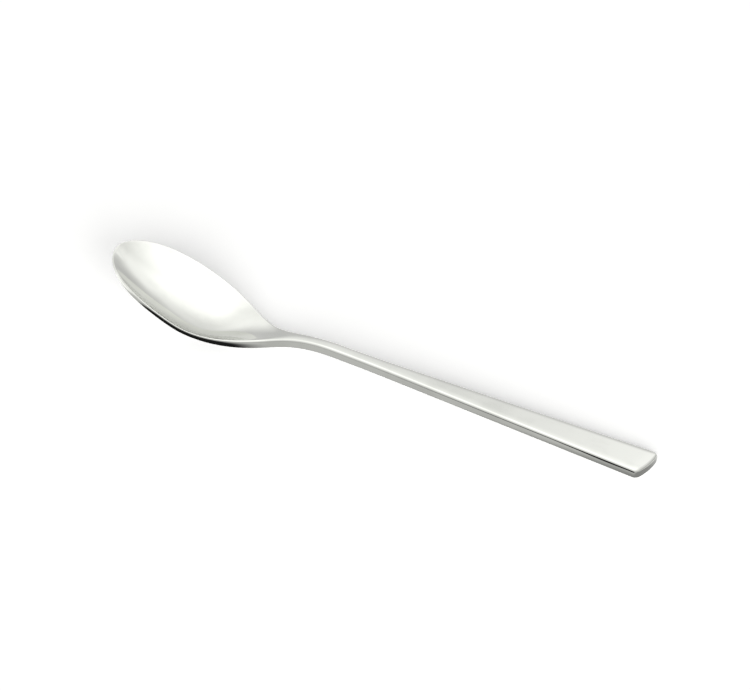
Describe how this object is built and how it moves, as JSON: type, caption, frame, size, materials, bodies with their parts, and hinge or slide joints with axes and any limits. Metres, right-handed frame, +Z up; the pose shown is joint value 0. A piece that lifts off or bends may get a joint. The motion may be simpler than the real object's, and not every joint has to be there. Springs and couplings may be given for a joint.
{
  "type": "tablespoon",
  "caption": "Polished steel table spoon with an oval bowl, a slim neck and a straight handle that widens to a square end with rounded corners.",
  "frame": {"origin": "halfway along the spoon, midway across it, on the surface that it lies on", "axes": "+X from the bowl's tip to the handle's end, +Y across the spoon, +Z up out of the bowl"},
  "size_m": [0.2, 0.0412, 0.0219],
  "materials": {
    "polished_steel": "mirror-polished stainless steel, not plated"
  },
  "bodies": {
    "root": {"bowl": "polished_steel", "handle": "polished_steel"}
  },
  "joints": []
}
